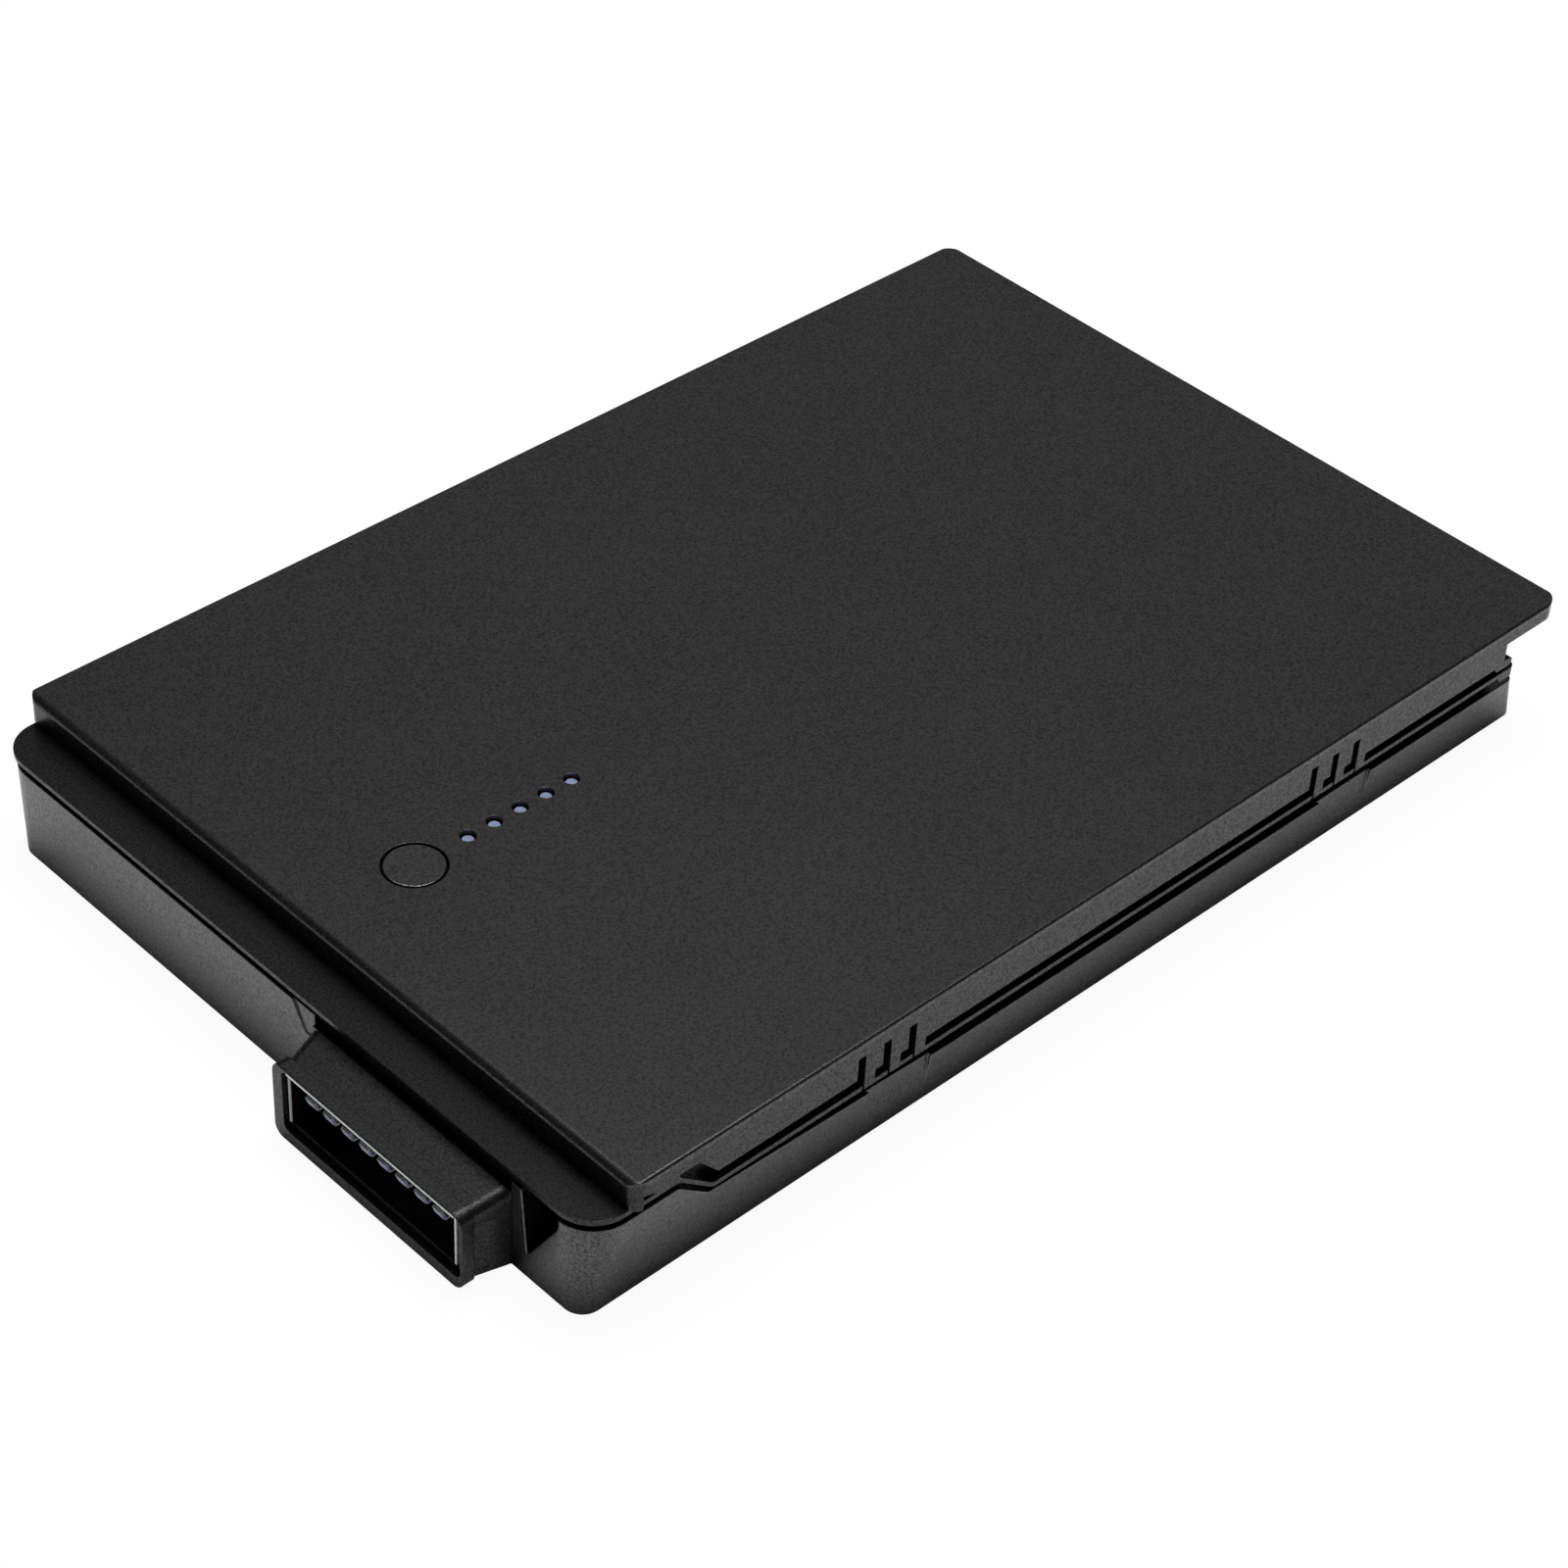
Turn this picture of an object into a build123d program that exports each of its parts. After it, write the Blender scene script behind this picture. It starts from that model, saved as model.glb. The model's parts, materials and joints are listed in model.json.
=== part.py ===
"""Laptop battery pack: a moulded two-part case with cells, boards, a socket and a charge gauge.

Millimetres. The origin is the middle of the pack's underside. +X points away from the connector end,
+Z points up through the cover plate, and the side with the socket is the -Y side.
"""
import os

from build123d import *

# Cover plate and the pack as a whole
plate_length = 140.4
plate_width = 97.0
plate_thickness = 2.05
plate_corner = 1.6
plate_rear_corner = 2.5
plate_roll = 0.9
plate_edge = 0.35
pack_height = 17.4
ledge_length = 4.8
ledge_drop = 3.76
socket_reach = 5.5

# Cover's skirt, rim and groove
side_overhang = 0.9
rear_overhang = 7.15
riser_thickness = 1.2
skirt_thickness = 2.4
skirt_corner = 4.0
skirt_rear_corner = 0.8
rim_thickness = 0.6
rim_corner = 4.5
rim_rear_corner = 0.9
rim_rear_overhang = 5.25
inner_rear_corner = 0.5
step_start = 6.65
step_run = 4.4
step_fall = 3.64
step_bend = 1.4
groove_height = 1.2
groove_depth = 1.4
groove_lead = 1.3
slot_width = 1.05
slot_top_gap = 0.35
slot_pitch = 3.53
slot_count = 3
slit_width = 0.28
finger_width = 1.45
slot_groups = (30.3, 98.7)
low_bead_height = 1.3
high_bead_height = 1.1
high_bead_gap = 0.6
high_bead_setback = 1.0
bead_root = 3.0

# Bottom case
case_wall = 1.4
floor_thickness = 1.6
seam_gap = 1.04
seam_setback = 0.15
side_lean = 1.5
front_lean = 0.38
rear_lean = 3.95
case_corner = 4.9
case_rear_corner = 1.1
foot_corner = 2.3
foot_round = 0.2
rail_gap_near = 1.25
rail_gap_far = 2.65
rail_slope_run = 34.0
recess_starts = (33.0, 102.35)
recess_depth = 0.4
recess_length = 8.85
recess_foot = 2.0
hollow_length = 96.0
hollow_width = 62.0
hollow_corner = 3.0
hollow_depth = 0.2
fit_clearance = 0.12
tongue_thickness = 1.2
tongue_overlap = 0.95
tongue_front_drop = 1.4

# Connector socket
socket_from_side = 27.2
housing_width = 28.3
housing_lift = 0.3
housing_corner = 1.2
housing_depth = 7.2
housing_clearance = 0.05
housing_bridge = 1.15
bridge_setback = 0.9
housing_seat = 0.8
flare_side = 0.92
flare_top = 1.05
flare_foot = 0.2
collar_depth = 1.6
collar_proud = 0.25
collar_far = 0.3
collar_corner = 1.4
collar_round = 0.15
panel_depth = 0.35
panel_top = 1.9
panel_share = 0.6
mouth_depth = 0.75
mouth_lip = 0.25
mouth_lip_far = 1.3
mouth_lip_foot = 1.6
mouth_corner = 0.9
socket_wall = 1.5
socket_roof = 0.8
socket_sill = 2.1
frame_width = 0.25
frame_depth = 0.15
frame_rise = 0.1
frame_bar = 0.4
frame_bar_depth = 0.5
carrier_length = 3.5
contact_count = 8
contact_pitch = 2.78
contact_width = 1.3
contact_shift = 0.85
contact_thickness = 0.3
contact_gap = 0.25
contact_tail = 2.6
contact_dip = 1.45
contact_hook = 1.5
contact_setback = 0.25
contact_bend = 0.4
scoop_wall = 1.85
scoop_width = 4.85
scoop_foot = 3.1
scoop_shoulder = 1.2
scoop_lean = 0.6
scoop_tip = 0.2
scoop_bend = 2.0
scoop_depth = 5.0
scoop_back = 1.3
shelf_width = 3.45
shelf_lean = 1.85
shelf_foot = 8.7
shelf_depth = 0.22

# Cells
cell_count = 3
cell_gap = 1.1
cell_round = 1.6
cell_rib = 0.8
cell_rib_height = 6.0
cell_front_gap = 3.4
cell_end_clearance = 0.6
cell_side_clearance = 0.6
tab_width = 5.0
tab_length = 4.4
tab_thickness = 0.2
tab_spread = 14.0
strip_thickness = 0.2
strip_overlap = 2.0
tape_thickness = 0.2
tape_margin = 3.0
sheet_thickness = 0.2
foam_margin = 3.0
foam_gap = 8.0
foam_rear_length = 34.0

# Boards and what they carry
board_thickness = 1.2
board_depth = 14.4
board_front_gap = 0.7
board_side_gap = 1.0
board_corner = 1.0
board_pin = 0.9
board_boss = 2.2
board_pin_inset = 4.5
pin_clearance = 0.1
pin_proud = 0.4
gauge_board_thickness = 0.8
gauge_board_drop = 1.85
gauge_board_width = 11.0
gauge_board_margin = 3.6
gauge_board_gap = 0.5
gauge_post = 1.5
gauge_pin = 0.6
gauge_pin_inset = 1.7
gauge_pin_proud = 0.25
link_thickness = 0.15
link_width = 6.0
link_lap = 4.0
link_loop = 2.5
link_bend_share = 0.3
chip_round = 0.15
leg_width = 0.4
leg_height = 0.3
leg_length = 0.9

# Charge gauge
button_from_edge = 13.45
button_radius = 3.3
button_gap = 0.25
button_flange = 4.2
button_flange_thickness = 0.5
button_travel = 0.3
button_edge = 0.15
flange_clearance = 0.1
switch_size = 4.6
switch_height = 0.8
switch_floor = 0.1
plunger_radius = 0.9
plunger_clearance = 0.15
light_count = 5
light_pitch = 3.515
light_lead = 7.05
light_radius = 0.7
light_hole = 0.9
light_recess = 0.45
light_collar = 1.25
light_collar_height = 0.6
light_round = 0.2
light_gap = 0.1
lamp_length = 1.6
lamp_width = 0.8
lamp_height = 0.6

# Places along X
pack_length = plate_length + ledge_length + socket_reach
x_rear = pack_length / 2
x_plate = x_rear - plate_length
x_ledge = x_plate - ledge_length
x_mouth = x_ledge - socket_reach
x_collar = x_mouth + collar_depth
x_socket = x_mouth + mouth_depth
x_skirt_rear = x_rear - rear_overhang
x_rim_rear = x_rear - rim_rear_overhang
x_step = x_plate + step_start
x_rail = x_step + step_run
x_case = x_ledge + seam_setback
x_case_rear = x_rim_rear - seam_setback
x_housing_back = x_ledge + housing_depth
x_carrier = x_housing_back - carrier_length
x_board = x_housing_back + board_front_gap
x_board_rear = x_board + board_depth
x_cell = x_board_rear + cell_front_gap
x_button = x_plate + button_from_edge
x_light = x_button + light_lead
x_gauge = x_button - button_flange - gauge_board_margin / 2
x_gauge_rear = x_light + (light_count - 1) * light_pitch + gauge_board_margin

# Heights
z_plate = pack_height - plate_thickness
z_ledge = pack_height - ledge_drop
z_ledge_under = z_ledge - rim_thickness
z_rail = z_ledge - step_fall
z_rail_under = z_rail - rim_thickness
z_brim = z_ledge_under - seam_gap
z_near = z_rail_under - rail_gap_near
z_far = z_rail_under - rail_gap_far
z_tongue = z_far - tongue_overlap
z_gauge = z_plate - gauge_board_drop
z_gauge_under = z_gauge - gauge_board_thickness
z_sheet = z_gauge_under - gauge_board_gap - sheet_thickness
z_cell = floor_thickness + tape_thickness
z_housing_wall = z_brim - housing_bridge - housing_clearance
z_housing = z_housing_wall - flare_top
z_roof = z_housing - socket_roof
z_contact = z_roof - contact_gap
z_board = z_contact
z_board_top = z_board + board_thickness
z_flange = z_plate - flange_clearance
z_cap = z_flange - button_flange_thickness

# Half widths across Y
plate_half = plate_width / 2
rim_half = plate_half - side_overhang
brim_half = rim_half - seam_setback
foot_half = brim_half - side_lean
socket_y = socket_from_side - plate_half
housing_half = housing_width / 2
flared_half = housing_half + flare_side


def case_half(z):
    """Half width of the case's outside at a height."""
    return foot_half + side_lean * z / z_brim


def case_front(z):
    """Place of the case's front face at a height."""
    return x_case + front_lean * (1 - z / z_brim)


def case_rear(z):
    """Place of the case's rear face at a height."""
    return x_case_rear + rear_lean * (1 - z / z_brim)


tongue_half = case_half(z_tongue) - case_wall - fit_clearance
x_tongue_rear = min(x_case_rear, case_rear(z_far) - case_wall - fit_clearance)
x_cell_rear = min(x_tongue_rear - tongue_thickness, x_skirt_rear - skirt_thickness) - cell_end_clearance
x_tongue = case_front(z_brim - tongue_front_drop) + case_wall + fit_clearance
inner_half = case_half(floor_thickness) - case_wall
cell_field = 2 * min(inner_half, tongue_half - tongue_thickness) - 2 * cell_side_clearance
cell_width = (cell_field - (cell_count - 1) * cell_gap) / cell_count
cell_pitch = cell_width + cell_gap
cell_length = x_cell_rear - x_cell
cell_height = z_sheet - z_cell
cell_names = ("near", "middle", "far")
cell_ys = [(i - (cell_count - 1) / 2) * cell_pitch for i in range(cell_count)]
board_half = tongue_half - tongue_thickness - board_side_gap
contact_mid = socket_y - contact_shift
contact_ys = [contact_mid + (i - (contact_count - 1) / 2) * contact_pitch for i in range(contact_count)]
light_xs = [x_light + i * light_pitch for i in range(light_count)]

# Lines of the S-step along both sides, as (x, z) points from front to rear
x_before = x_mouth - socket_reach
x_after = x_rear + rear_overhang


def step_line(high, low, shift=0.0):
    """A level that falls at the S-step from one height to another."""
    return [(x_before, high), (x_step + shift, high), (x_rail + shift, low), (x_after, low)]


rim_top = step_line(z_ledge, z_rail)
rim_under = step_line(z_ledge_under, z_rail_under)
rim_middle = step_line(z_ledge - rim_thickness / 2, z_rail - rim_thickness / 2)
case_edge = [
    (x_before, z_brim),
    (x_step, z_brim),
    (x_rail, z_near),
    (x_rail + rail_slope_run, z_far),
    (x_after, z_far),
]


def level(z):
    """A level line along the whole pack."""
    return [(x_before, z), (x_after, z)]


def across(upper, lower):
    """Prism across the pack between two lines of (x, z) points, with soft bends."""
    with BuildPart() as prism:
        with BuildSketch(Plane.XZ):
            with BuildLine():
                top = FilletPolyline(*upper, radius=step_bend) if len(upper) > 2 else Line(*upper)
                bottom = FilletPolyline(*lower, radius=step_bend) if len(lower) > 2 else Line(*lower)
                Line(top @ 0, bottom @ 0)
                Line(top @ 1, bottom @ 1)
            make_face()
        extrude(amount=plate_width, both=True)
    return prism.part


def plan(z, x_from, x_to, half, corner, rear_corner):
    """Flat outline at a height, centred across the pack, with its own front and rear corner radii."""
    with BuildSketch(Plane.XY.offset(z)) as outline:
        with Locations(((x_from + x_to) / 2, 0)):
            Rectangle(x_to - x_from, 2 * half)
        fillet(outline.vertices().group_by(Axis.X)[0], radius=corner)
        fillet(outline.vertices().group_by(Axis.X)[-1], radius=rear_corner)
    return outline.sketch


def upright(x_from, x_to, half, corner, rear_corner, z_from, z_to):
    """Upright block with rounded corners in plan, centred across the pack."""
    with BuildPart() as block:
        add(plan(z_from, x_from, x_to, half, corner, rear_corner))
        extrude(amount=z_to - z_from)
    return block.part


def bar(x_from, x_to, y_from, y_to, z_from, z_to):
    """Plain bar between two corners."""
    with BuildPart() as block:
        with Locations(((x_from + x_to) / 2, (y_from + y_to) / 2, (z_from + z_to) / 2)):
            Box(x_to - x_from, y_to - y_from, z_to - z_from)
    return block.part


def save(piece, name):
    """Label a finished piece and write it to its own file."""
    piece.label = name
    export_step(piece, f"parts/{name}.step")


os.makedirs("parts", exist_ok=True)

# Cover's plate, with its front edge rolled over towards the ledge and its other top edges softened
with BuildPart() as plate:
    with BuildSketch(Plane.XZ) as plate_section:
        with Locations(((x_plate + x_rear) / 2, z_plate + plate_thickness / 2)):
            Rectangle(plate_length, plate_thickness)
        rolled = plate_section.vertices().group_by(Axis.X)[0].sort_by(Axis.Y)[-1]
        fillet(rolled, radius=plate_roll)
        rear_edge = plate_section.vertices().group_by(Axis.X)[-1].sort_by(Axis.Y)[-1]
        fillet(rear_edge, radius=plate_edge)
    extrude(amount=plate_half, both=True)
    with BuildSketch(Plane.YZ.offset(x_plate)) as plate_across:
        with Locations((0, z_plate + plate_thickness / 2)):
            Rectangle(plate_width, plate_thickness)
        fillet(plate_across.vertices().group_by(Axis.Y)[-1], radius=plate_edge)
    extrude(amount=plate_length, mode=Mode.INTERSECT)
    add(
        upright(x_plate, x_rear, plate_half, plate_corner, plate_rear_corner, z_plate, pack_height),
        mode=Mode.INTERSECT,
    )

# Ledge and rim: one thin flange that steps down along both sides, slit beside each finger
slot_xs = [x_plate + first + i * slot_pitch for first in slot_groups for i in range(slot_count)]
rim_block = upright(x_ledge, x_rim_rear, rim_half, rim_corner, rim_rear_corner, 0, pack_height)
with BuildPart() as flange:
    add(across(rim_top, rim_under))
    add(rim_block, mode=Mode.INTERSECT)
    for x in slot_xs:
        for side in (-1, 1):
            y_slit = side * (rim_half - groove_depth / 2)
            add(
                bar(
                    x + slot_width - slit_width,
                    x + slot_width,
                    y_slit - groove_depth / 2,
                    y_slit + groove_depth / 2,
                    z_rail_under,
                    z_rail,
                ),
                mode=Mode.SUBTRACT,
            )
    add(
        upright(
            x_plate + skirt_thickness,
            x_skirt_rear - skirt_thickness,
            tongue_half - tongue_thickness,
            rim_corner - tongue_thickness,
            inner_rear_corner,
            0,
            pack_height,
        ),
        mode=Mode.SUBTRACT,
    )

# Tongue that reaches down inside the case's wall, left out beside the socket
with BuildPart() as tongue:
    add(upright(x_tongue, x_tongue_rear, tongue_half, rim_corner, case_rear_corner, z_tongue, z_ledge))
    add(
        upright(
            x_tongue + tongue_thickness,
            x_tongue_rear - tongue_thickness,
            tongue_half - tongue_thickness,
            rim_corner - tongue_thickness,
            inner_rear_corner,
            z_tongue,
            z_ledge,
        ),
        mode=Mode.SUBTRACT,
    )
    add(across(level(2 * pack_height), rim_middle), mode=Mode.SUBTRACT)
    add(bar(x_before, x_step, -plate_half, plate_half, 0, z_brim - tongue_front_drop), mode=Mode.SUBTRACT)
    add(bar(x_before, x_step, -plate_half, socket_y + housing_width, 0, z_ledge_under), mode=Mode.SUBTRACT)

# Skirt under the plate, with the groove, slots and fingers of both sides
groove_top = [
    (x_step + groove_lead, pack_height),
    (x_step + groove_lead, z_plate),
    (x_rail + groove_lead / 2, z_rail + groove_height),
    (x_after, z_rail + groove_height),
]
groove_foot = [(x_after, z_rail), (x_rail, z_rail), (x_step, z_ledge), (x_step, pack_height)]
groove_half = rim_half - groove_depth
with BuildPart() as groove:
    with BuildSketch(Plane.XZ):
        with BuildLine():
            Polyline(*groove_top, *groove_foot, close=True)
        make_face()
    extrude(amount=plate_width, both=True)
    for x in slot_xs:
        finger = x + slot_width
        finger_block = bar(finger, finger + finger_width, -plate_width, plate_width, 0, pack_height)
        add(finger_block, mode=Mode.SUBTRACT)
        add(bar(x, finger, -plate_width, plate_width, z_rail, z_plate - slot_top_gap))
    add(bar(x_before, x_after, -groove_half, groove_half, 0, pack_height), mode=Mode.SUBTRACT)

with BuildPart() as skirt:
    add(upright(x_plate, x_skirt_rear, rim_half, skirt_corner, skirt_rear_corner, z_rail, z_plate))
    add(
        upright(
            x_plate + skirt_thickness,
            x_skirt_rear - skirt_thickness,
            rim_half - skirt_thickness,
            skirt_corner - skirt_thickness,
            inner_rear_corner,
            z_rail,
            z_plate,
        ),
        mode=Mode.SUBTRACT,
    )
    add(across(rim_top, level(0)), mode=Mode.SUBTRACT)
    add(groove.part, mode=Mode.SUBTRACT)

# Riser between the ledge and the plate's front edge, as wide as the plate
with BuildPart() as riser:
    add(upright(x_plate, x_rear, plate_half, plate_corner, plate_rear_corner, z_ledge, z_plate))
    add(
        bar(x_plate + riser_thickness, x_after, -plate_width, plate_width, z_ledge, z_plate),
        mode=Mode.SUBTRACT,
    )

# Two rounded beads along the rear end, as wide as the rim
x_high_bead = x_rim_rear - high_bead_setback
with BuildPart() as beads:
    with BuildSketch(Plane.XZ):
        with Locations((x_rim_rear - bead_root / 2, z_rail - low_bead_height / 2)):
            SlotOverall(bead_root, low_bead_height)
        with Locations((x_high_bead - bead_root / 2, z_rail + high_bead_gap + high_bead_height / 2)):
            SlotOverall(bead_root, high_bead_height)
    extrude(amount=rim_half, both=True)
    add(rim_block, mode=Mode.INTERSECT)

gauge_pins = [
    (x, y)
    for x in (x_gauge + gauge_pin_inset, x_gauge_rear - gauge_pin_inset)
    for y in (gauge_pin_inset - gauge_board_width / 2, gauge_board_width / 2 - gauge_pin_inset)
]
with BuildPart() as top_cover:
    add(plate.part)
    add(flange.part)
    add(skirt.part)
    add(tongue.part)
    add(riser.part)
    add(beads.part)
    with BuildSketch(Plane.XY.offset(z_gauge)):
        with Locations(*gauge_pins):
            Circle(gauge_post)
    extrude(amount=gauge_board_drop)
    with BuildSketch(Plane.XY.offset(z_gauge_under - gauge_pin_proud)):
        with Locations(*gauge_pins):
            Circle(gauge_pin)
    extrude(amount=gauge_board_thickness + gauge_pin_proud)
    with BuildSketch(Plane.XY.offset(z_plate)):
        with Locations((x_button, 0)):
            Circle(button_radius + button_gap)
        with Locations(*[(x, 0) for x in light_xs]):
            Circle(light_hole)
    extrude(amount=plate_thickness, mode=Mode.SUBTRACT)
save(top_cover.part, "top_cover")

# Bottom case: a tub with leaning walls, trimmed along its stepped edge
pin_y = board_half - board_pin_inset
board_pins = [(x_board_rear - board_pin_inset, y) for y in (-pin_y, 0, pin_y)]
scoop_y = socket_y - flared_half - housing_clearance - scoop_wall
shelf_y = socket_y + flared_half
z_trim = z_brim + seam_gap
# room inside the case, less the block behind the scoop beside the socket
with BuildPart() as case_room:
    add(
        plan(
            floor_thickness,
            case_front(floor_thickness) + case_wall,
            case_rear(floor_thickness) - case_wall,
            inner_half,
            foot_corner - case_wall / 2,
            inner_rear_corner,
        )
    )
    add(
        plan(
            z_trim,
            case_front(z_trim) + case_wall,
            case_rear(z_trim) - case_wall,
            case_half(z_trim) - case_wall,
            case_corner - case_wall,
            inner_rear_corner,
        )
    )
    loft()
    add(
        bar(x_before, x_case + scoop_depth + scoop_back, -plate_half, scoop_y + scoop_wall, 0, pack_height),
        mode=Mode.SUBTRACT,
    )

with BuildPart() as bottom_case:
    add(plan(0, case_front(0), case_rear(0), foot_half, foot_corner, case_rear_corner))
    add(
        plan(
            z_trim,
            case_front(z_trim),
            case_rear(z_trim),
            case_half(z_trim),
            case_corner,
            case_rear_corner,
        )
    )
    loft()
    fillet(bottom_case.faces().sort_by(Axis.Z)[0].edges(), radius=foot_round)
    add(case_room.part, mode=Mode.SUBTRACT)
    add(across(level(2 * pack_height), case_edge), mode=Mode.SUBTRACT)
    # ribs between the cells and bosses under the main board
    for y_left, y_right in zip(cell_ys, cell_ys[1:]):
        rib_from = (y_left + y_right - cell_rib) / 2
        add(bar(x_cell, x_cell_rear, rib_from, rib_from + cell_rib, floor_thickness, cell_rib_height))
    with BuildSketch(Plane.XY.offset(floor_thickness)):
        with Locations(*board_pins):
            Circle(board_boss)
    extrude(amount=z_board - floor_thickness)
    with BuildSketch(Plane.XY.offset(z_board)):
        with Locations(*board_pins):
            Circle(board_pin)
    extrude(amount=board_thickness + pin_proud)
    # opening for the socket, and the scoops on both sides of it
    add(
        bar(
            x_mouth,
            x_housing_back + housing_clearance,
            socket_y - flared_half - housing_clearance,
            socket_y + flared_half + housing_clearance,
            housing_seat,
            z_housing_wall + housing_clearance,
        ),
        mode=Mode.SUBTRACT,
    )
    with BuildSketch(Plane.YZ.offset(x_mouth)) as scoop_outline:
        with BuildLine():
            Polyline(
                (scoop_y, scoop_foot),
                (scoop_y - scoop_width, z_brim - scoop_shoulder),
                (scoop_y - scoop_width, z_ledge),
                (scoop_y + scoop_lean, z_ledge),
                close=True,
            )
        make_face()
        fillet(scoop_outline.vertices().group_by(Axis.X)[0].sort_by(Axis.Y)[0], radius=scoop_bend)
        fillet(scoop_outline.vertices().sort_by(Axis.Y)[0], radius=scoop_tip)
    extrude(amount=x_case + scoop_depth - x_mouth, mode=Mode.SUBTRACT)
    with BuildSketch(Plane.YZ.offset(x_mouth)):
        with BuildLine():
            Polyline(
                (shelf_y, shelf_foot),
                (shelf_y + shelf_width - shelf_lean, shelf_foot),
                (shelf_y + shelf_width, z_brim),
                (shelf_y + shelf_width, z_ledge),
                (shelf_y, z_ledge),
                close=True,
            )
        make_face()
    extrude(amount=x_case + shelf_depth - x_mouth, mode=Mode.SUBTRACT)
    # bridge over the socket, set back behind the front face
    add(
        bar(
            x_mouth,
            x_case + bridge_setback,
            socket_y - flared_half - housing_clearance,
            socket_y + flared_half + housing_clearance,
            z_housing_wall,
            z_ledge,
        ),
        mode=Mode.SUBTRACT,
    )
    # shallow recesses below the slots, running out into the leaning wall
    for start in recess_starts:
        with BuildSketch(Plane.YZ.offset(x_plate + start)):
            for side in (-1, 1):
                with BuildLine():
                    Polyline(
                        (side * (case_half(z_far) - recess_depth), z_far),
                        (side * case_half(recess_foot), recess_foot),
                        (side * plate_half, recess_foot),
                        (side * plate_half, z_rail),
                        (side * (case_half(z_far) - recess_depth), z_rail),
                        close=True,
                    )
                make_face()
        extrude(amount=recess_length, mode=Mode.SUBTRACT)
    # bare, shallow hollow of the underside
    with BuildSketch(Plane.XY):
        RectangleRounded(hollow_length, hollow_width, hollow_corner)
    extrude(amount=hollow_depth, mode=Mode.SUBTRACT)
save(bottom_case.part, "bottom_case")

# Socket block with a collar at its mouth, growing towards the case
housing_height = z_housing - housing_lift
housing_mid = housing_lift + housing_height / 2
flared_foot = housing_lift - flare_foot
socket_half = housing_half - socket_wall
socket_floor = housing_lift + socket_sill
y_near = socket_y - socket_half
y_far = socket_y + socket_half
y_block = socket_y - housing_half
x_panel = x_collar + panel_share * (x_ledge - x_collar)
mouth_near = socket_y - housing_half - collar_proud + mouth_lip
mouth_far = socket_y + housing_half + collar_proud - mouth_lip_far
mouth_foot = housing_lift - collar_proud + mouth_lip_foot
mouth_top = z_housing + collar_proud - mouth_lip
with BuildPart() as connector_housing:
    with BuildSketch(Plane.YZ.offset(x_collar)):
        with Locations((socket_y, housing_mid)):
            RectangleRounded(housing_width, housing_height, housing_corner)
    with BuildSketch(Plane.YZ.offset(x_ledge)):
        with Locations((socket_y, (flared_foot + z_housing_wall) / 2)):
            RectangleRounded(2 * flared_half, z_housing_wall - flared_foot, housing_corner)
    loft()
    # shallow panel on the near side, dying out towards the case
    with BuildSketch(Plane.XY):
        with BuildLine():
            Polyline(
                (x_collar, y_block - flare_side),
                (x_collar, y_block + panel_depth),
                (x_panel, y_block - panel_share * flare_side),
                (x_panel, y_block - flare_side),
                close=True,
            )
        make_face()
    extrude(amount=z_housing - panel_top, mode=Mode.SUBTRACT)
    with BuildSketch(Plane.YZ.offset(x_mouth)):
        with Locations((socket_y + collar_far / 2, housing_mid)):
            RectangleRounded(
                housing_width + 2 * collar_proud + collar_far,
                housing_height + 2 * collar_proud,
                collar_corner,
            )
    extrude(amount=collar_depth)
    fillet(connector_housing.faces().sort_by(Axis.X)[0].edges(), radius=collar_round)
    add(
        bar(
            x_ledge,
            x_housing_back,
            socket_y - flared_half,
            socket_y + flared_half,
            housing_seat,
            z_housing_wall,
        )
    )
    with BuildSketch(Plane.YZ.offset(x_mouth)):
        with Locations(((mouth_near + mouth_far) / 2, (mouth_foot + mouth_top) / 2)):
            RectangleRounded(mouth_far - mouth_near, mouth_top - mouth_foot, mouth_corner)
    extrude(amount=mouth_depth, mode=Mode.SUBTRACT)
    add(bar(x_socket, x_housing_back, y_near, y_far, socket_floor, z_roof), mode=Mode.SUBTRACT)
save(connector_housing.part, "connector_housing")

# Thin pale frame on the socket's inner edge: two posts and a deeper bar above them
z_frame = z_roof + frame_rise
with BuildPart() as mouth_frame:
    for y in (y_near - frame_width, y_far):
        add(bar(x_socket - frame_depth, x_socket, y, y + frame_width, socket_floor, z_frame))
    add(
        bar(
            x_socket - frame_bar_depth,
            x_socket,
            y_near - frame_width,
            y_far + frame_width / 3,
            z_frame,
            z_frame + frame_bar,
        )
    )
save(mouth_frame.part, "mouth_frame")

# Carrier that closes the back of the socket, with a slot for each contact
with BuildPart() as contact_carrier:
    add(bar(x_carrier, x_housing_back, y_near, y_far, socket_floor, z_roof))
    for y in contact_ys:
        half_slot = contact_width / 2 + pin_clearance / 2
        add(
            bar(
                x_carrier,
                x_housing_back,
                y - half_slot,
                y + half_slot,
                z_contact - contact_thickness - pin_clearance / 2,
                z_contact + pin_clearance / 2,
            ),
            mode=Mode.SUBTRACT,
        )
save(contact_carrier.part, "contact_carrier")

# Leaf contacts: straight tails under the board, tips that dip below the socket's roof
leaf_z = z_contact - contact_thickness / 2
x_tip = x_mouth + contact_setback
for number, y in enumerate(contact_ys, start=1):
    with BuildPart() as contact:
        with BuildSketch(Plane.XZ.offset(-y)):
            with BuildLine():
                FilletPolyline(
                    (x_board + contact_tail, leaf_z),
                    (x_tip + 2 * contact_hook, leaf_z),
                    (x_tip + contact_hook / 3, leaf_z - contact_dip),
                    (x_tip, leaf_z),
                    radius=contact_bend,
                )
            trace(line_width=contact_thickness)
        extrude(amount=contact_width / 2, both=True)
    save(contact.part, f"contact_{number}")

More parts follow.
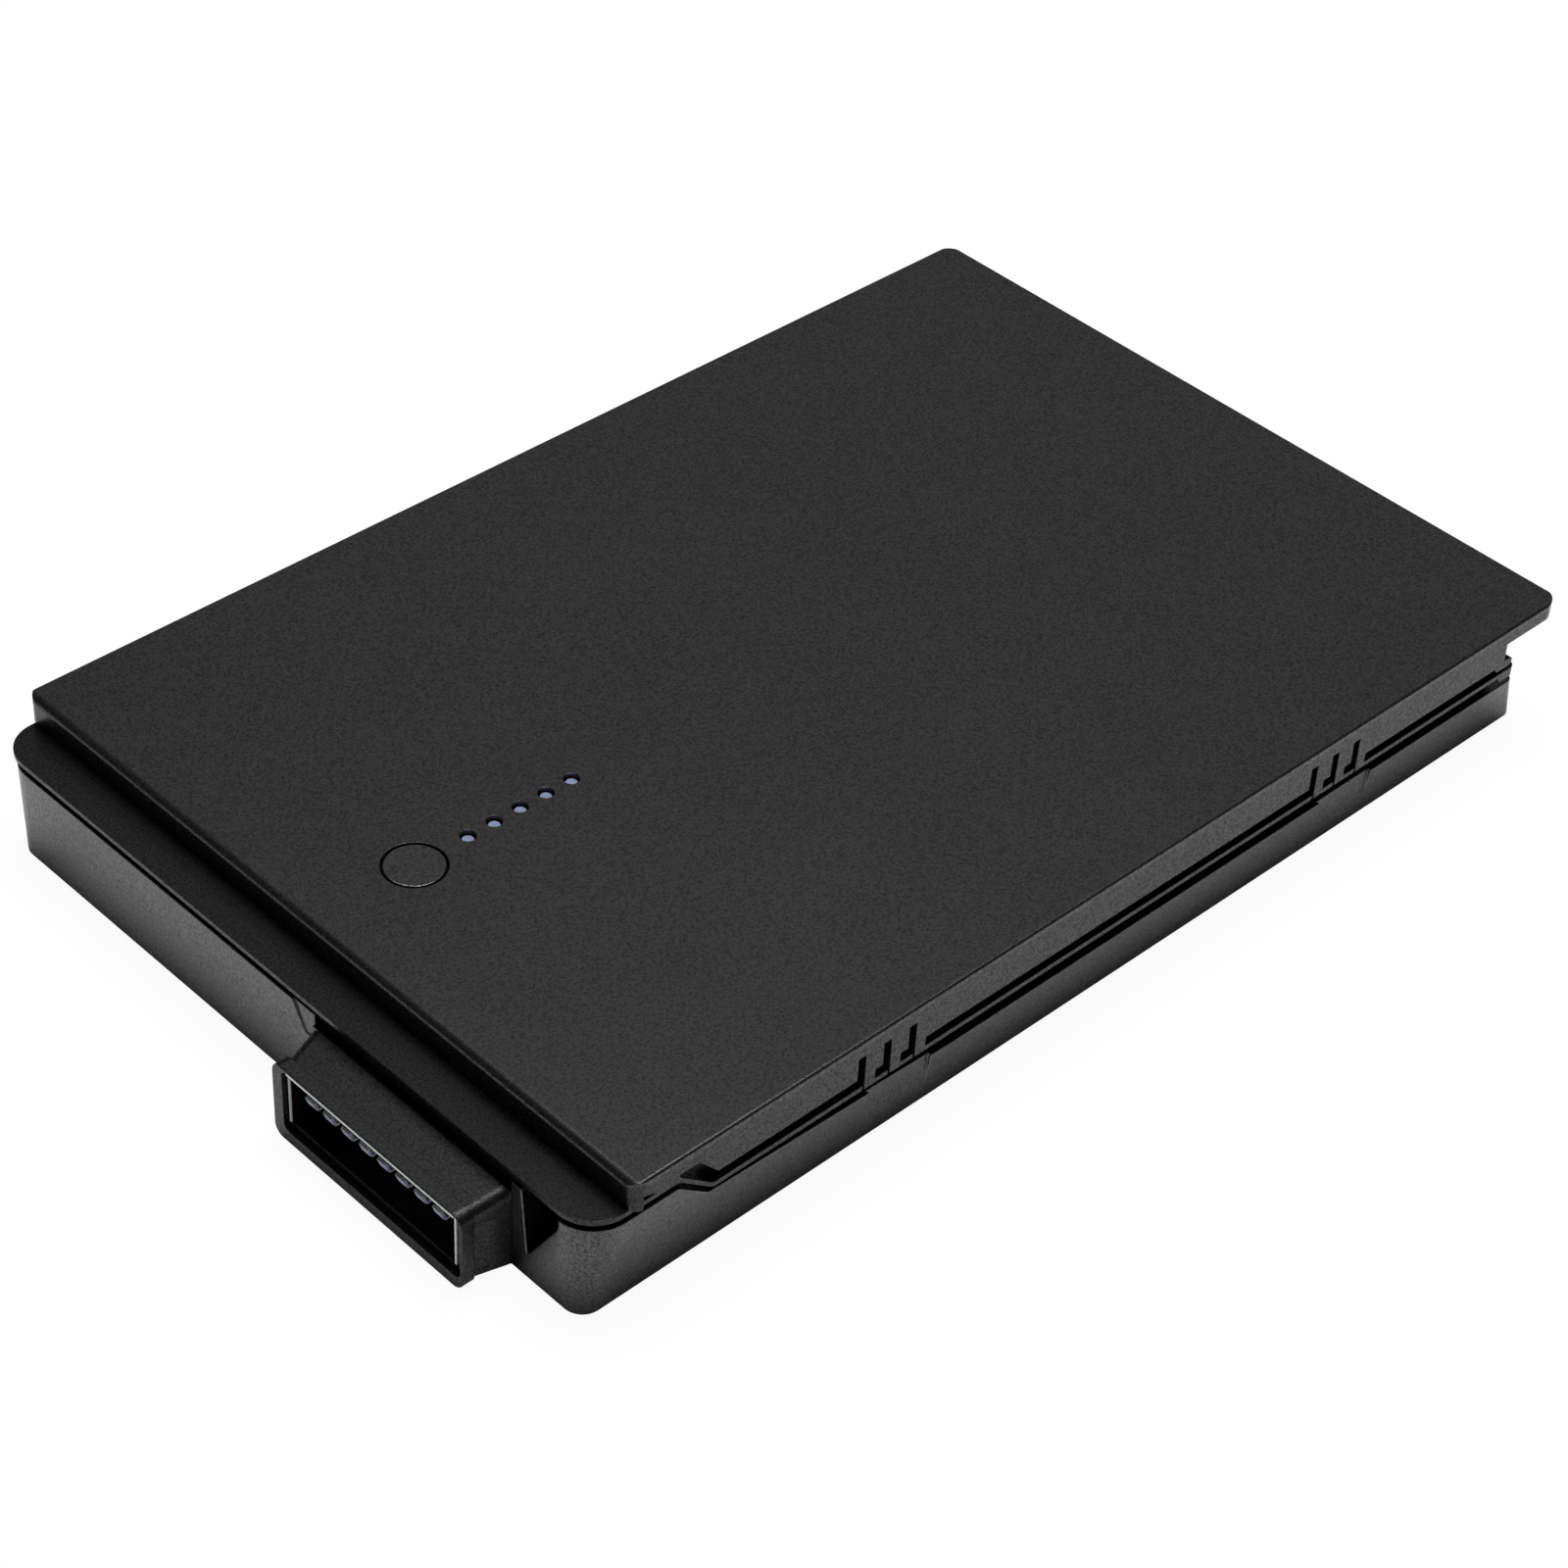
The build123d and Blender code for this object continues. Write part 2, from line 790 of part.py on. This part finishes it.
# Cells: sealed packs with two tabs each, taped to the floor
tab_top = z_board - strip_thickness
for name, y in zip(cell_names, cell_ys):
    with BuildPart() as cell:
        with Locations(((x_cell + x_cell_rear) / 2, y, z_cell + cell_height / 2)):
            Box(cell_length, cell_width, cell_height)
        fillet(cell.edges().filter_by(Axis.X), radius=cell_round)
        with Locations((x_cell - tab_length / 2, y, tab_top - tab_thickness / 2)):
            with GridLocations(tab_length, tab_spread, 1, 2):
                Box(tab_length, tab_width, tab_thickness)
    save(cell.part, f"cell_{name}")
    with BuildPart() as tape:
        with BuildSketch(Plane.XY.offset(floor_thickness)):
            with Locations(((x_cell + x_cell_rear) / 2, y)):
                Rectangle(cell_length - 2 * tape_margin, cell_width - 2 * tape_margin)
        extrude(amount=tape_thickness)
    save(tape.part, f"adhesive_{name}")

# Nickel strips from the tabs to the main board's underside
near_tabs = [y + side * tab_spread / 2 for y in cell_ys for side in (-1, 1)]
strip_ends = {
    "strip_plus": (near_tabs[0], near_tabs[0]),
    "strip_link_a": (near_tabs[1], near_tabs[2]),
    "strip_link_b": (near_tabs[3], near_tabs[4]),
    "strip_minus": (near_tabs[5], near_tabs[5]),
}
for name, (y_first, y_last) in strip_ends.items():
    with BuildPart() as strip:
        add(
            bar(
                x_board_rear - strip_overlap,
                x_cell - tab_thickness,
                y_first - tab_width / 2,
                y_last + tab_width / 2,
                tab_top,
                z_board,
            )
        )
    save(strip.part, name)

# Insulating sheet over the cells and foam pads up to the plate
sheet_half = cell_field / 2
with BuildPart() as cell_sheet:
    with BuildSketch(Plane.XY.offset(z_sheet)):
        with Locations(((x_cell + x_cell_rear) / 2, 0)):
            Rectangle(cell_length, 2 * sheet_half)
    extrude(amount=sheet_thickness)
save(cell_sheet.part, "cell_sheet")

x_foam_rear = x_cell_rear - foam_margin - foam_rear_length
foam_half = sheet_half - foam_margin
foam_plans = {
    "foam_near": (x_cell + foam_margin, x_foam_rear - foam_gap, -foam_half, -foam_gap),
    "foam_far": (x_cell + foam_margin, x_foam_rear - foam_gap, foam_gap, foam_half),
    "foam_rear": (x_foam_rear, x_cell_rear - foam_margin, -foam_half, foam_half),
}
for name, (x_from, x_to, y_from, y_to) in foam_plans.items():
    with BuildPart() as foam:
        add(bar(x_from, x_to, y_from, y_to, z_sheet + sheet_thickness, z_plate))
    save(foam.part, name)

# Main board, pinned on the case's bosses
with BuildPart() as main_board:
    with BuildSketch(Plane.XY.offset(z_board)):
        with Locations(((x_board + x_board_rear) / 2, 0)):
            RectangleRounded(board_depth, 2 * board_half, board_corner)
        with Locations(*board_pins):
            Circle(board_pin + pin_clearance, mode=Mode.SUBTRACT)
    extrude(amount=board_thickness)
save(main_board.part, "main_board")

# Parts on the main board: name, place along Y, length, width, height, spacing of the legs
board_mid = (x_board + x_board_rear) / 2
board_parts = {
    "gauge_chip": (board_half - 28.9, 7.0, 5.0, 1.0, 0.69),
    "protector_chip": (board_half - 18.9, 5.0, 4.0, 1.0, 0.82),
    "charge_switch": (22.9 - board_half, 5.0, 4.4, 1.2, 1.2),
    "discharge_switch": (15.4 - board_half, 5.0, 4.4, 1.2, 1.2),
    "safety_fuse": (30.9 - board_half, 5.4, 3.2, 1.4, 2.5),
    "sense_resistor": (board_half - 9.9, 6.3, 3.2, 0.7, 3.0),
}
for name, (y, length, width, height, leg_pitch) in board_parts.items():
    legs = int(length / leg_pitch)
    with BuildPart() as board_part:
        with Locations((board_mid, y, z_board_top + height / 2)):
            Box(width, length, height)
        fillet(board_part.faces().sort_by(Axis.Z)[-1].edges(), radius=chip_round)
        with Locations((board_mid, y, z_board_top + leg_height / 2)):
            with GridLocations(width + leg_length, length / legs, 2, legs):
                Box(leg_length, leg_width, leg_height)
    save(board_part.part, name)

# Temperature sensor between the board's edge and the middle cell
with BuildPart() as thermistor:
    with Locations(((x_board_rear + x_cell) / 2, 0, z_board + board_thickness / 2)):
        Box(x_cell - x_board_rear, 2 * board_thickness, board_thickness)
    fillet(thermistor.edges().filter_by(Axis.X), radius=board_thickness / 4)
save(thermistor.part, "thermistor")

# Gauge board, hung on the plate's posts
with BuildPart() as gauge_board:
    with BuildSketch(Plane.XY.offset(z_gauge_under)):
        with Locations(((x_gauge + x_gauge_rear) / 2, 0)):
            RectangleRounded(x_gauge_rear - x_gauge, gauge_board_width, board_corner)
        with Locations(*gauge_pins):
            Circle(gauge_pin + pin_clearance, mode=Mode.SUBTRACT)
    extrude(amount=gauge_board_thickness)
save(gauge_board.part, "gauge_board")

# Flat cable that loops from under the gauge board down to the main board
link_bend = link_bend_share * (z_gauge_under - z_board_top - link_thickness)
with BuildPart() as board_link:
    with BuildSketch(Plane.XZ):
        with BuildLine():
            FilletPolyline(
                (x_gauge + link_lap, z_gauge_under - link_thickness / 2),
                (x_gauge - link_loop, z_gauge_under - link_thickness / 2),
                (x_gauge - link_loop, z_board_top + link_thickness / 2),
                (x_gauge + link_lap, z_board_top + link_thickness / 2),
                radius=link_bend,
            )
        trace(line_width=link_thickness)
    extrude(amount=link_width / 2, both=True)
save(board_link.part, "board_link")

# Lamps and the lenses above them
for number, x in enumerate(light_xs, start=1):
    with BuildPart() as lamp:
        with Locations((x, 0, z_gauge + lamp_height / 2)):
            Box(lamp_width, lamp_length, lamp_height)
        fillet(lamp.faces().sort_by(Axis.Z)[-1].edges(), radius=chip_round)
    save(lamp.part, f"light_{number}")
    lens_foot = z_gauge + lamp_height + light_gap
    with BuildPart() as light_pipe:
        with BuildSketch(Plane.XY.offset(lens_foot)):
            with Locations((x, 0)):
                Circle(light_radius)
        extrude(amount=pack_height - light_recess - lens_foot)
        fillet(light_pipe.faces().sort_by(Axis.Z)[-1].edges(), radius=light_round)
        with BuildSketch(Plane.XY.offset(z_plate - light_collar_height)):
            with Locations((x, 0)):
                Circle(light_collar)
        extrude(amount=light_collar_height)
    save(light_pipe.part, f"light_pipe_{number}")

# Push button, its switch and the switch's plunger
with BuildPart() as charge_button:
    with BuildSketch(Plane.XY.offset(z_cap)):
        with Locations((x_button, 0)):
            Circle(button_radius)
    extrude(amount=pack_height - z_cap)
    fillet(charge_button.faces().sort_by(Axis.Z)[-1].edges(), radius=button_edge)
    with BuildSketch(Plane.XY.offset(z_cap)):
        with Locations((x_button, 0)):
            Circle(button_flange)
    extrude(amount=button_flange_thickness)
save(charge_button.part, "charge_button")

z_plunger = z_gauge + switch_floor + button_travel
with BuildPart() as switch_plunger:
    with BuildSketch(Plane.XY.offset(z_plunger)):
        with Locations((x_button, 0)):
            Circle(plunger_radius)
    extrude(amount=z_cap - z_plunger)
save(switch_plunger.part, "switch_plunger")

with BuildPart() as switch_body:
    with Locations((x_button, 0, z_gauge + switch_height / 2)):
        Box(switch_size, switch_size, switch_height)
    fillet(switch_body.edges().filter_by(Axis.Z), radius=chip_round)
    with BuildSketch(Plane.XY.offset(z_gauge + switch_floor)):
        with Locations((x_button, 0)):
            Circle(plunger_radius + plunger_clearance)
    extrude(amount=switch_height, mode=Mode.SUBTRACT)
save(switch_body.part, "switch_body")
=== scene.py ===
"""Looks of the laptop battery pack: procedural materials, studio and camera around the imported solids."""

import json

import bpy
from mathutils import Matrix, Vector


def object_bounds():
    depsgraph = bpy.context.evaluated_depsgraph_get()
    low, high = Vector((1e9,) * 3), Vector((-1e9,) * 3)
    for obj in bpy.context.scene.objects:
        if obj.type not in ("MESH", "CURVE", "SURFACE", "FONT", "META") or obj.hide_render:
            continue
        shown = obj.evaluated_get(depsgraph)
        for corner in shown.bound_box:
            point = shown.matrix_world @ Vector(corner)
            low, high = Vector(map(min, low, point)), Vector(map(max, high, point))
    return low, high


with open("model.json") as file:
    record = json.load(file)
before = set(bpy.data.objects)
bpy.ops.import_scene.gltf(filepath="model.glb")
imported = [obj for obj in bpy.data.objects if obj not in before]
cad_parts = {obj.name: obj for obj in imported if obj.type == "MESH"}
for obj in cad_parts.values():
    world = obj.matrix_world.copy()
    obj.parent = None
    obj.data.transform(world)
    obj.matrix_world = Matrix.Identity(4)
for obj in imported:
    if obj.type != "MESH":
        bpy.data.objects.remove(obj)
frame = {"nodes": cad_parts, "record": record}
cad_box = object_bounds()
nodes = frame["nodes"]
scene = bpy.context.scene
scene.view_settings.view_transform = "Standard"

# Camera: the photograph's viewpoint, solved on the pack's own edges
CAMERA_PLACE = (-0.23333, -0.22914, 0.27271)
CAMERA_RIGHT = (0.72387737, -0.68851477, 0.04414722)
CAMERA_UP = (0.41712156, 0.48771864, 0.76690294)
CAMERA_BACK = (-0.54955542, -0.53672893, 0.64024284)
CAMERA_LENS = 87.435
CAMERA_SENSOR = 36.0
CAMERA_NEAR = 0.01

# Moulded plastic: scales per metre, depths and heights in metres
GRAIN_SCALE = 3600.0
GRAIN_RANGE = (0.34, 0.66)
GRAIN_DEPTH = 0.000012
CLOUD_SCALE = 60.0
# Patch scale of the pale edge tone: wear, and a painted highlight
EDGE_WEAR_AND_HIGHLIGHT_SCALE = 1500.0
EDGE_RANGE = (0.72, 0.99)
# Heights over which edges take their pale tone: wear, and a painted highlight
EDGE_WEAR_AND_HIGHLIGHT_HEIGHTS = (0.002, 0.003)
PACK_TOP = cad_box[1][2]
TOP_HEIGHTS = (PACK_TOP - 0.0009, PACK_TOP - 0.0001)
PLASTIC_IOR = 1.6

# Studio: sizes in metres, lamps in watts
FLOOR_HALF = 3.0
FLOOR_HEIGHT = -0.0002
FLOOR_MOTTLE = 6.0
FLOOR_GLOW = 0.94
SKY_LIGHT = 0.06
SKY_SEEN = 1.0
OVERHEAD_PLACE = (0.12, 0.04, 1.1)
OVERHEAD_SIZE = 0.55
OVERHEAD_POWER = 17.5
SHEEN_PLACE = (0.8, 0.74, 0.9)
SHEEN_SIZE = 1.0
SHEEN_POWER = 0.72


class Graph:
    """A small helper to write the node tree of a material or the world."""

    def __init__(self, owner):
        owner.use_nodes = True
        self.owner = owner
        self.tree = owner.node_tree
        self.tree.nodes.clear()

    def add(self, kind, inputs=None, **settings):
        node = self.tree.nodes.new(kind)
        for key, value in settings.items():
            setattr(node, key, value)
        for key, value in (inputs or {}).items():
            if isinstance(value, bpy.types.NodeSocket):
                self.tree.links.new(value, node.inputs[key])
            else:
                node.inputs[key].default_value = value
        return node

    def place(self):
        return self.add("ShaderNodeTexCoord").outputs["Object"]

    def noise(self, place, scale, detail=2.0, rough=0.5):
        inputs = {"Vector": place, "Scale": scale, "Detail": detail, "Roughness": rough}
        return self.add("ShaderNodeTexNoise", inputs).outputs["Fac"]

    def spread(self, value, low, high, span=(0.3, 0.7)):
        """Map a span of values to a new range, and clamp it there."""
        inputs = {"Value": value, "From Min": span[0], "From Max": span[1], "To Min": low, "To Max": high}
        return self.add("ShaderNodeMapRange", inputs).outputs["Result"]

    def mix(self, factor, first, second):
        inputs = {"Fac": factor, "Color1": first, "Color2": second}
        return self.add("ShaderNodeMixRGB", inputs).outputs["Color"]

    def math(self, operation, first, second):
        return self.add("ShaderNodeMath", {0: first, 1: second}, operation=operation).outputs["Value"]

    def blend(self, factor, first, second):
        return self.add("ShaderNodeMixShader", {0: factor, 1: first, 2: second}).outputs["Shader"]

    def edge(self, radius):
        """Soft normal over the edges, and a mask of where the edges are."""
        soft = self.add("ShaderNodeBevel", {"Radius": radius}, samples=6).outputs["Normal"]
        flat = self.add("ShaderNodeNewGeometry").outputs["Normal"]
        facing = self.add("ShaderNodeVectorMath", {0: soft, 1: flat}, operation="DOT_PRODUCT")
        return soft, self.spread(facing.outputs["Value"], 1.0, 0.0, EDGE_RANGE)

    def bump(self, height, strength, distance, normal=None):
        inputs = {"Height": height, "Strength": strength, "Distance": distance}
        if normal is not None:
            inputs["Normal"] = normal
        return self.add("ShaderNodeBump", inputs).outputs["Normal"]

    def finish(self, **inputs):
        names = {key.replace("_", " "): value for key, value in inputs.items()}
        shader = self.add("ShaderNodeBsdfPrincipled", names).outputs["BSDF"]
        self.add("ShaderNodeOutputMaterial", {"Surface": shader})
        return self.owner


def material_graph(name):
    return Graph(bpy.data.materials.new(name))


def grey(level):
    return (level, level, level, 1.0)


def moulded_plastic(name, light, rough, gloss, edge_radius, edge_wear_and_highlight_tone, low_gloss=None, dark=0.001):
    """Black moulded plastic with a spark-eroded grain and paler edges: slight wear, and where the edge
    tone is high a painted highlight.

    low_gloss is the gloss below the pack's top face, where the mould was left duller.
    """
    g = material_graph(name)
    place = g.place()
    grain = g.noise(place, GRAIN_SCALE, 2.0, 0.6)
    cloud = g.noise(place, CLOUD_SCALE, 3.0)
    soft, edges = g.edge(edge_radius)
    height = g.add("ShaderNodeSeparateXYZ", {"Vector": place}).outputs["Z"]
    tone = g.mix(g.spread(grain, 0.0, 1.0, GRAIN_RANGE), grey(dark), grey(light))
    wear_and_highlight_patches = g.math("MULTIPLY", edges, g.spread(g.noise(place, EDGE_WEAR_AND_HIGHLIGHT_SCALE), 0.4, 1.0))
    wear_and_highlight_mask = g.math("MULTIPLY", wear_and_highlight_patches, g.spread(height, 0.0, 1.0, EDGE_WEAR_AND_HIGHLIGHT_HEIGHTS))
    # Edges are painted towards the edge tone: a little wear, and at a high tone a painted highlight line
    colour = g.mix(wear_and_highlight_mask, tone, grey(edge_wear_and_highlight_tone))
    sheen = g.math("ADD", g.spread(cloud, rough - 0.01, rough + 0.01), g.spread(grain, 0.05, -0.05))
    shine = g.spread(height, gloss if low_gloss is None else low_gloss, gloss, TOP_HEIGHTS)
    level = g.math("MULTIPLY", shine, g.spread(grain, 0.5, 1.5, GRAIN_RANGE))
    normal = g.bump(grain, 0.7, GRAIN_DEPTH, soft)
    return g.finish(
        Base_Color=colour,
        Roughness=sheen,
        IOR=PLASTIC_IOR,
        Specular_IOR_Level=level,
        Normal=normal,
    )


def metal(name, colour, shade, rough, scale):
    """Bare metal with fine uneven tarnish."""
    g = material_graph(name)
    place = g.place()
    tarnish = g.noise(place, scale, 4.0, 0.65)
    fine = g.noise(place, scale * 6)
    tone = g.mix(g.spread(tarnish, 0.0, 1.0), colour, shade)
    sheen = g.spread(tarnish, rough - 0.08, rough + 0.1)
    return g.finish(Base_Color=tone, Metallic=1.0, Roughness=sheen, Normal=g.bump(fine, 0.3, 0.00001))


def dull(name, colour, shade, rough, scale, depth):
    """Soft or coated surface with a fine uneven texture."""
    g = material_graph(name)
    place = g.place()
    patch = g.noise(place, scale, 4.0, 0.6)
    fine = g.noise(place, scale * 8, 3.0)
    tone = g.mix(g.spread(patch, 0.0, 1.0), colour, shade)
    sheen = g.spread(patch, rough - 0.06, rough + 0.06)
    return g.finish(Base_Color=tone, Roughness=sheen, Normal=g.bump(fine, 0.5, depth))


# Moulded plastics: the grain's light tone, roughness, gloss and edges (their rounding, and their tone:
# slight wear, on the tub a painted highlight)
plastics = {
    "case_plastic": dict(
        light=0.006, rough=0.29, gloss=0.48, edge_radius=0.00012, edge_wear_and_highlight_tone=0.004, low_gloss=0.2
    ),
    "socket_plastic": dict(light=0.005, rough=0.38, gloss=0.22, edge_radius=0.00012, edge_wear_and_highlight_tone=0.01),
    "button_plastic": dict(light=0.006, rough=0.32, gloss=0.5, edge_radius=0.0001, edge_wear_and_highlight_tone=0.01),
    # The tub's high edge tone paints a pale highlight line along the case's brim edges, standing in for
    # light caught by their rounding
    "tub_plastic_painted_edge_highlight": dict(light=0.006, rough=0.32, gloss=0.5, edge_radius=0.0003, edge_wear_and_highlight_tone=0.35),
}

# Bare metals: two tones, roughness and the tarnish's scale
metals = {
    "cell_foil": ((0.62, 0.63, 0.65, 1), (0.5, 0.51, 0.53, 1), 0.42, 120.0),
    "nickel": ((0.6, 0.59, 0.56, 1), (0.46, 0.45, 0.43, 1), 0.35, 400.0),
    "switch_metal": ((0.6, 0.6, 0.6, 1), (0.48, 0.48, 0.48, 1), 0.35, 700.0),
}

# Soft and coated surfaces: two tones, roughness, the texture's scale and its depth
coats = {
    # The mouth frame's pale greenish tone is a painted highlight: it copies the lit edges of the socket's
    # mouth, greenish fringe included
    "frame_plastic": ((0.7, 0.77, 0.69, 1), (0.6, 0.68, 0.62, 1), 0.3, 1500.0, 0.000005),
    "contact_metal": ((0.42, 0.44, 0.5, 1), (0.26, 0.27, 0.31, 1), 0.3, 900.0, 0.000005),
    "lens_plastic": ((0.2, 0.22, 0.32, 1), (0.12, 0.14, 0.22, 1), 0.2, 900.0, 0.000005),
    "tape": ((0.75, 0.74, 0.7, 1), (0.66, 0.65, 0.6, 1), 0.5, 300.0, 0.00001),
    "insulating_paper": ((0.6, 0.58, 0.48, 1), (0.5, 0.49, 0.4, 1), 0.85, 250.0, 0.00002),
    "foam": ((0.05, 0.05, 0.05, 1), (0.025, 0.025, 0.025, 1), 0.95, 900.0, 0.00012),
    "board_laminate": ((0.02, 0.15, 0.06, 1), (0.012, 0.1, 0.04, 1), 0.3, 400.0, 0.00001),
    "chip_plastic": ((0.03, 0.03, 0.032, 1), (0.02, 0.02, 0.02, 1), 0.55, 800.0, 0.00001),
    "fuse_ceramic": ((0.42, 0.4, 0.36, 1), (0.32, 0.3, 0.27, 1), 0.5, 600.0, 0.00001),
    "sensor_epoxy": ((0.05, 0.05, 0.06, 1), (0.03, 0.03, 0.035, 1), 0.25, 700.0, 0.00001),
    "cable_film": ((0.45, 0.22, 0.05, 1), (0.34, 0.15, 0.03, 1), 0.3, 500.0, 0.00001),
    "lamp_resin": ((0.8, 0.78, 0.6, 1), (0.7, 0.68, 0.5, 1), 0.25, 900.0, 0.000005),
    "plunger_plastic": ((0.05, 0.05, 0.052, 1), (0.035, 0.035, 0.036, 1), 0.5, 900.0, 0.00001),
}
finishes = {name: moulded_plastic(name, **values) for name, values in plastics.items()}
finishes.update({name: metal(name, *values) for name, values in metals.items()})
finishes.update({name: dull(name, *values) for name, values in coats.items()})

# Each node takes its slot's finish, apart from the case's tub, whose edges carry a pale painted highlight
# that the cover's lack
own = {"bottom_case": "tub_plastic_painted_edge_highlight"}
for part in frame["record"]["subparts"]:
    mesh = nodes[part["node"]].data
    mesh.materials.clear()
    mesh.materials.append(finishes[own.get(part["node"], part["material_slot"])])

# Camera at the photograph's angle
camera_data = bpy.data.cameras.new("camera")
camera_data.lens = CAMERA_LENS
camera_data.sensor_width = CAMERA_SENSOR
camera_data.clip_start = CAMERA_NEAR
camera = bpy.data.objects.new("camera", camera_data)
turn = Matrix((CAMERA_RIGHT, CAMERA_UP, CAMERA_BACK)).transposed().to_4x4()
camera.matrix_world = Matrix.Translation(CAMERA_PLACE) @ turn
scene.collection.objects.link(camera)
scene.camera = camera

# White floor that keeps a faint shadow
g = material_graph("floor_white")
tone = g.mix(g.spread(g.noise(g.place(), FLOOR_MOTTLE), 0.0, 1.0), grey(0.8), grey(0.84))
matt = g.add("ShaderNodeBsdfDiffuse", {"Color": tone}).outputs["BSDF"]
glow = g.add("ShaderNodeEmission", {"Color": grey(1.0), "Strength": 1.0}).outputs["Emission"]
seen = g.add("ShaderNodeLightPath").outputs["Is Camera Ray"]
g.add("ShaderNodeOutputMaterial", {"Surface": g.blend(g.math("MULTIPLY", seen, FLOOR_GLOW), matt, glow)})
floor_mesh = bpy.data.meshes.new("floor")
corners = [(x * FLOOR_HALF, y * FLOOR_HALF, FLOOR_HEIGHT) for x, y in ((-1, -1), (1, -1), (1, 1), (-1, 1))]
floor_mesh.from_pydata(corners, [], [(0, 1, 2, 3)])
floor_mesh.materials.append(g.owner)
floor = bpy.data.objects.new("floor", floor_mesh)
scene.collection.objects.link(floor)

# Dim sky for the object, white for the camera
g = Graph(bpy.data.worlds.new("studio"))
dim = g.add("ShaderNodeBackground", {"Color": grey(1.0), "Strength": SKY_LIGHT}).outputs["Background"]
white = g.add("ShaderNodeBackground", {"Color": grey(1.0), "Strength": SKY_SEEN}).outputs["Background"]
seen = g.add("ShaderNodeLightPath").outputs["Is Camera Ray"]
g.add("ShaderNodeOutputWorld", {"Surface": g.blend(seen, dim, white)})
scene.world = g.owner


def softbox(name, place, size, power):
    """Square lamp aimed at the pack."""
    data = bpy.data.lights.new(name, "AREA")
    data.shape = "RECTANGLE"
    data.size = size
    data.size_y = size
    data.energy = power
    lamp = bpy.data.objects.new(name, data)
    lamp.location = place
    lamp.rotation_euler = (-Vector(place)).to_track_quat("-Z", "Y").to_euler()
    scene.collection.objects.link(lamp)


softbox("overhead", OVERHEAD_PLACE, OVERHEAD_SIZE, OVERHEAD_POWER)
softbox("sheen", SHEEN_PLACE, SHEEN_SIZE, SHEEN_POWER)
